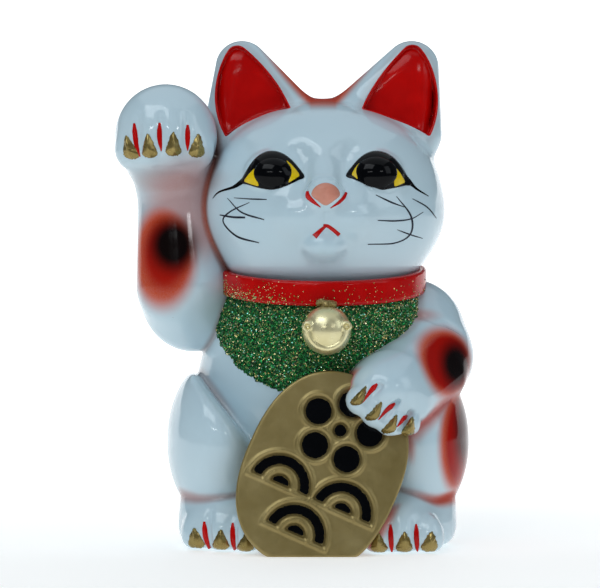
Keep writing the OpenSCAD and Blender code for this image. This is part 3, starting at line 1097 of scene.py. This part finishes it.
def claws(node, field, places, w, h, height=1.6):
    """Gold drops, pointed above, with a ridge: places are (x, z, lean)."""
    for i, (x, z, lean) in enumerate(places):
        outline = [(x + a * w + lean * b * h, z + b * h) for a, b in CLAW]

        def ridge(px, pz, x=x, z=z, lean=lean):
            return 0.7 * np.exp(-((px - x - lean * (pz - z)) / 1.3) ** 2)
        patch(f"{node}_{i + 1}", field, outline, height, CLAW_GOLD, node if i == 0 else None,
              power=1.8, n=48, rings=9, centre=(x, z - 0.05 * h), wobble=0.16, relief=ridge)


def toe_strokes(name, field, lines, widths):
    merged(name, [stroke(field, line, widths, 0.4) for line in lines], RED)


def raised_paw():
    x, _, z = PAW
    places = [(-19.5, -9, -0.3), (-8, -8.5, -0.1), (6, -7.5, 0), (19.5, -8, 0.1)]
    claws("raised_paw_claws", raised, [(x + a, z + b, lean) for a, b, lean in places], 9.0, 13.5)
    lines = [[(-17, 6), (-16.5, 0), (-15.5, -7), (-13.5, -13.5)],
             [(-2, 6), (-2, -2.5), (-1, -10.5)],
             [(14, 5), (14, -2.5), (14, -10)]]
    lines = [[(x + a, z + b) for a, b in line] for line in lines]
    toe_strokes("raised_paw_strokes", raised, lines, [1.2, 2.9, 3.0, 2.3, 0.5])


def paw_on_plate(p):
    return join(lowered(p), koban(p), 1.5)


def lowered_paw():
    places = [(37, 89, 0.6), (45.5, 80.5, 0.6), (54.5, 73, 0.5), (65, 71.5, 0.3)]
    claws("lowered_paw_claws", paw_on_plate, places, 7.4, 10.5, 1.3)
    lines = [[(47, 96.5), (43, 92), (38.5, 86)],
             [(57, 85.5), (52, 81.5), (47.5, 76.5)],
             [(64, 78.5), (61, 76), (58, 72.5)]]
    toe_strokes("lowered_paw_strokes", paw_on_plate, lines, [1.2, 3.0, 2.4, 1.5, 0.5])


def feet():
    lines = []
    for (s, mid, front, back), node in zip(FEET, ("right_foot_claws", "left_foot_claws")):
        places = [(BODY_X + s * (mid + TOE * i), 6.4, 0.12 * i * s) for i in (-1, 0, 1)]
        claws(node, body, places, 9.5, 11.5, 1.5)
        for i in (-0.5, 0.5):
            x = BODY_X + s * (mid + TOE * i)
            bend = 1.6 if s < 0 < i else 0.3
            lines.append([(x - 1.5 * bend, 17), (x - bend, 9), (x + 0.4, 1.5)])
    toe_strokes("foot_strokes", body, lines, [1.2, 2.9, 3.1, 2.6, 1.0])


raised_paw()
lowered_paw()
feet()


# ---------------------------------------------------------------- collar, bib and bell

def collar(p):
    h = neck_plane(p, COLLAR_Z) / math.hypot(1, SLANT)
    e = np.hypot((p[:, 0] - HEAD_X) / 61, (p[:, 1] + 3) / 60.5)
    out = (e - 1) * 61
    a, b = np.abs(out + 2) - 1.0, np.abs(h - 7) - 5.2
    return np.hypot(np.maximum(a, 0), np.maximum(b, 0)) + np.minimum(np.maximum(a, b), 0) - 1.8


LATTICE = draw.random((32, 32, 32))


def grain(p, size):
    """Smooth noise between 0 and 1, with lumps of the size given."""
    q = p / size
    base = np.floor(q).astype(int)
    t = q - base
    t = t * t * (3 - 2 * t)
    total = 0
    for corner_of in range(8):
        o = np.array([corner_of & 1, corner_of >> 1 & 1, corner_of >> 2 & 1])
        weight = np.prod(np.where(o, t, 1 - t), axis=-1)
        i = (base + o) % 32
        total = total + weight * LATTICE[i[:, 0], i[:, 1], i[:, 2]]
    return total


def bib(p):
    d = torso(p)
    u, v = (p[:, 0] - HEAD_X) / 64, (p[:, 2] - COLLAR_Z + 10) / 50
    ragged = 2.4 * (grain(p, 1.3) - 0.5) + 1.2 * (grain(p, 4.0) - 0.5)
    past = (np.hypot(u, v) - 1) * 52 + ragged
    past = np.maximum(np.maximum(past, neck_plane(p, COLLAR_Z + 3)), p[:, 1] - 10)
    coat_top = d - 1.3 - 0.9 * (grain(p, 1.1) - 0.5) - 0.5 * (grain(p, 3.0) - 0.5)
    return np.maximum(coat_top + dive(np.maximum(past, 0)), -d - 1.5)


def bell(p):
    q = p - BELL
    d = ellipsoid(q, (0, 0, 0), (13.8, 13.8, 13.8))
    around = np.hypot(q[:, 0], q[:, 2] - 0.4)
    angle = np.arctan2(q[:, 0], -(q[:, 2] - 0.4))
    reach = np.clip(np.abs(angle) - 1.72, 0, 4) * 10.4
    bead = np.sqrt((around - 10.2) ** 2 + (q[:, 1] + 9.6) ** 2 + reach ** 2) - 1.9
    d = join(d, bead, 0.5)
    for s in (-1, 1):
        end = (s * 10.6, -8.8, 2.4)
        d = join(d, ellipsoid(q, end, (3.5, 3.0, 3.5)), 1.0)
        d = meet(d, -ellipsoid(q, (s * 11.0, -11.9, 2.4), (1.8, 2.2, 1.8)), 0.8)
    return d


def knot(p):
    q = p - middle("bell_loop")
    lump = ellipsoid(q, (0, -1.5, -1.4), (3.4, 4.4, 3.0))
    for s in (-1, 1):
        lump = join(lump, ellipsoid(q, (s * 3.4, -1.8, -0.6 - 0.5 * s), (2.6, 3.6, 2.0)), 0.8)
    return lump + 1.3 * (grain(p, 1.2) - 0.5)


def flakes(name, spots, normals, size, tone, node=None):
    """Glitter: small flat pyramids stuck on at random tilts."""
    n = len(spots)
    lean = unit(normals + 0.55 * draw.standard_normal((n, 3)))
    side = unit(np.cross(lean, draw.standard_normal((n, 3))))
    other = np.cross(lean, side)
    rim = []
    for k in range(3):
        a = 2 * math.pi * k / 3
        rim.append(spots + size[:, None] * (math.cos(a) * side + math.sin(a) * other))
    top = spots + 0.22 * size[:, None] * lean
    verts = np.stack(rim + [top], 1).reshape(-1, 3)
    base = 4 * np.arange(n)[:, None]
    faces = np.concatenate([base + f for f in ([0, 1, 3], [1, 2, 3], [2, 0, 3], [2, 1, 0])])
    obj = piece(name, verts, faces, FLAKES, node, smooth=False)
    a = obj.data.attributes.new("tone", "FLOAT", "POINT")
    a.data.foreach_set("value", np.repeat(tone, 4).astype(np.float32))


def scatter(verts, faces, count, keep):
    """Random places on a mesh where keep says so, with the normals there."""
    a, b, c = verts[faces[:, 0]], verts[faces[:, 1]], verts[faces[:, 2]]
    normal = np.cross(b - a, c - a)
    area = np.sqrt((normal ** 2).sum(-1))
    mid = verts[faces].mean(1)
    weight = area * keep(mid)
    pick = draw.choice(len(faces), count, p=weight / weight.sum())
    spread = draw.random((count, 2))
    spots = a[pick] + spread[:, :1] * (b - a)[pick] + spread[:, 1:] * (verts[faces[:, 3]] - a)[pick]
    return spots, unit(normal[pick])


def glitter_bib():
    low, high = span("bib")
    verts, faces = surface(bib, low - 4, high + 4, 1.0)
    piece("bib_lacquer", verts, faces, GLITTER, "bib")

    def outside(mid):
        return (torso(mid) > 0.4) * (raised(mid) > 0) * (lowered(mid) > -1) * (koban(mid) > -2)
    count = 11000
    spots, normals = scatter(verts, faces, count, outside)
    goldish = np.clip((spots[:, 0] - HEAD_X + 62) / 124, 0, 1)
    tone = draw.random(count) ** (1.3 - 0.85 * goldish)
    flakes("bib_glitter", spots + 0.25 * normals, normals, draw.uniform(0.35, 0.75, count), tone)


def stray_glitter():
    """The red collar, and the specks that fell on it; those around the bell come with the bell."""
    low, high = span("collar_band")
    verts, faces = surface(collar, low - 3, high + 3, COARSE)
    piece("collar_enamel", verts, faces, RED, "collar_band",
          normals=unit(gradient(collar, verts, 0.15)))

    def often(mid):
        front = falloff(mid[:, 1], -20, 0)
        low_edge = falloff(neck_plane(mid, COLLAR_Z), -2, 16)
        left_end = falloff(mid[:, 0], HEAD_X - 55, HEAD_X - 10)
        out = np.hypot((mid[:, 0] - HEAD_X) / 61, (mid[:, 1] + 3) / 60.5) > 1.002
        return front * out * (low_edge ** 2 * (0.25 + 3 * left_end) + 0.04) * (raised(mid) > 0)
    spots, normals = scatter(verts, faces, 700, often)
    size = draw.uniform(0.28, 0.62, 700)
    tone = np.where(draw.random(700) < 0.75, draw.uniform(0.68, 0.93, 700), draw.uniform(0, 0.5, 700))
    flakes("collar_specks", spots + 0.1 * normals, normals, size, tone)


def bell_and_knot():
    low, high = span("bell")
    verts, faces = surface(bell, low - 2.5, high + 2.5, 0.55)
    piece("bell_gold", verts, faces, BELL_GOLD, "bell",
          normals=unit(gradient(bell, verts, 0.1)))

    def rim(mid):
        from_middle = np.hypot(mid[:, 0] - BELL[0], mid[:, 2] - BELL[2])
        return falloff(np.abs(from_middle - 14.2), 0.2, 1.3) * (mid[:, 1] < BELL[1] + 3)
    spots, normals = scatter(verts, faces, 260, rim)
    tone = np.where(draw.random(260) < 0.7, draw.uniform(0.66, 0.93, 260), draw.uniform(0, 0.6, 260))
    flakes("bell_specks", spots + 0.1 * normals, normals, draw.uniform(0.3, 0.6, 260), tone)
    low, high = span("bell_loop")
    verts, faces = surface(knot, low - 4, high + 4, 0.6)
    piece("bell_knot", verts, faces, GOLD, "bell_loop")


glitter_bib()
stray_glitter()
bell_and_knot()


# ---------------------------------------------------------------- stopper

def lathe(name, profile, n, material, node, body_name, centre):
    """A solid of revolution about an upright axis from (r, z) points that start and end on the axis."""
    pts = np.asarray(profile, float)
    inner = pts[1:-1]
    turn = np.linspace(0, 2 * math.pi, n, endpoint=False)
    ring = np.stack([np.outer(inner[:, 0], np.cos(turn)), np.outer(inner[:, 0], np.sin(turn)),
                     np.repeat(inner[:, 1:], n, 1)], -1).reshape(-1, 3)
    verts = np.concatenate([ring, [[0, 0, pts[0, 1]], [0, 0, pts[-1, 1]]]]) + [centre[0], centre[1], 0]
    m = len(inner)
    faces = grid_faces(m, n, True).tolist()
    faces += [[(i + 1) % n, i, m * n] for i in range(n)]
    faces += [[(m - 1) * n + i, (m - 1) * n + (i + 1) % n, m * n + 1] for i in range(n)]
    return piece(name, verts, faces, material, node, body_name)


def rounded(points, r, n=5):
    """Rounds the corners of an open line of points."""
    pts = [np.array(p, float) for p in points]
    out = [pts[0]]
    for a, b, c in zip(pts, pts[1:], pts[2:]):
        cut = min(r, 0.45 * np.linalg.norm(b - a), 0.45 * np.linalg.norm(c - b))
        s, e = b + cut * unit(a - b), b + cut * unit(c - b)
        for t in np.linspace(0, 1, n):
            out.append((1 - t) ** 2 * s + 2 * t * (1 - t) * b + t * t * e)
    return out + [pts[-1]]


def stopper():
    low, high = span("stopper")
    flange = (high[0] - low[0]) / 2
    plug = flange - 4.3
    z0, z1 = low[2], high[2]
    outline = [(0, z0 + 0.8), (6, z0 + 0.8), (7.5, z0), (10, z0), (11.5, z0 + 0.8), (flange - 2.5, z0),
               (flange, z0), (flange, z0 + 3), (plug, z0 + 3), (plug, z0 + 5.5), (plug - 0.5, z0 + 6.5),
               (plug, z0 + 7.5), (plug, z1 - 1.5), (plug - 1.2, z1), (plug - 4, z1), (plug - 4, z0 + 3),
               (0, z0 + 3)]
    lathe("stopper_rubber", rounded(outline, 0.6), 96, RUBBER, "stopper", "stopper",
          middle("stopper"))


stopper()


# ---------------------------------------------------------------- stage, light and camera

def stage():
    """A pale floor that runs up into a wall far behind the cat, lit by itself away from the cat."""
    rows = [(y, 0.0) for y in np.linspace(-1.2, 2.0, 33)]
    rows += [(2.0 + math.sin(a), 1 - math.cos(a)) for a in np.linspace(0, math.pi / 2, 16)[1:]]
    verts = [(x, y, z) for y, z in rows for x in (-4, 4)]
    faces = [(2 * i, 2 * i + 1, 2 * i + 3, 2 * i + 2) for i in range(len(rows) - 1)]
    mesh = bpy.data.meshes.new("floor")
    mesh.from_pydata(verts, [], faces)
    mesh.shade_smooth()
    floor = bpy.data.objects.new("floor", mesh)
    bpy.context.scene.collection.objects.link(floor)
    m = Paint("floor", roughness=0.7, specular_ior_level=0.2)
    m.colour(m.ramp(m.noise(400, 2), (0.3, linear(240, 238, 234)), (0.7, linear(244, 242, 238))))
    depth = m.node("SeparateXYZ", Vector=m.where).outputs[1]
    glow = m.node("MapRange", Value=depth, From_Min=-0.1, From_Max=0.8, To_Min=0.42, To_Max=0.92).outputs[0]
    m.put(m.bsdf.inputs["Emission Color"], (0.97, 0.985, 1.0, 1))
    m.put(m.bsdf.inputs["Emission Strength"], glow)
    mesh.materials.append(m.mat)


def light(name, at, aim, size, power, colour=(1, 1, 1)):
    data = bpy.data.lights.new(name, "AREA")
    data.shape, data.size, data.size_y = "RECTANGLE", size[0], size[1]
    data.energy, data.color = power, colour
    obj = bpy.data.objects.new(name, data)
    obj.location = at
    obj.rotation_euler = (Vector(aim) - Vector(at)).to_track_quat("-Z", "Y").to_euler()
    bpy.context.scene.collection.objects.link(obj)
    return obj


def world():
    w = bpy.data.worlds.new("studio")
    w.use_nodes = True
    bpy.context.scene.world = w
    back = w.node_tree.nodes["Background"]
    back.inputs[0].default_value = (0.80, 0.90, 1.0, 1)
    back.inputs[1].default_value = 0.13


def camera():
    data = bpy.data.cameras.new("camera")
    data.sensor_width, data.lens = 36, 120
    obj = bpy.data.objects.new("camera", data)
    obj.location = (0.0039, -1.2, 0.1466)
    obj.rotation_euler = (math.pi / 2, 0, 0)
    bpy.context.scene.collection.objects.link(obj)
    bpy.context.scene.camera = obj


stage()
world()
bpy.context.scene.view_settings.view_transform = "Standard"
for x, y, tall in ((-0.58, -1.34, 0.045), (-0.28, -1.40, 0.045), (0.70, -1.14, 0.055)):
    light("window", (x, y, 0.635), (0, 0, 0.17), (0.27, tall), 10 * tall, (0.95, 0.98, 1.0))
light("key", (-0.75, -1.15, 1.65), (0, 0, 0.15), (1.6, 0.9), 12, (0.90, 0.96, 1.0))
light("side", (1.4, -0.7, 0.9), (0, 0, 0.15), (0.7, 1.0), 2.8, (0.86, 0.94, 1.0))
light("top", (0, 0.1, 1.6), (0, 0, 0.1), (2.2, 2.0), 7, (0.90, 0.96, 1.0))
light("back", (0.4, 1.4, 1.2), (0, 0, 0.15), (1.4, 1.0), 4, (0.92, 0.97, 1.0)).visible_glossy = False
camera()
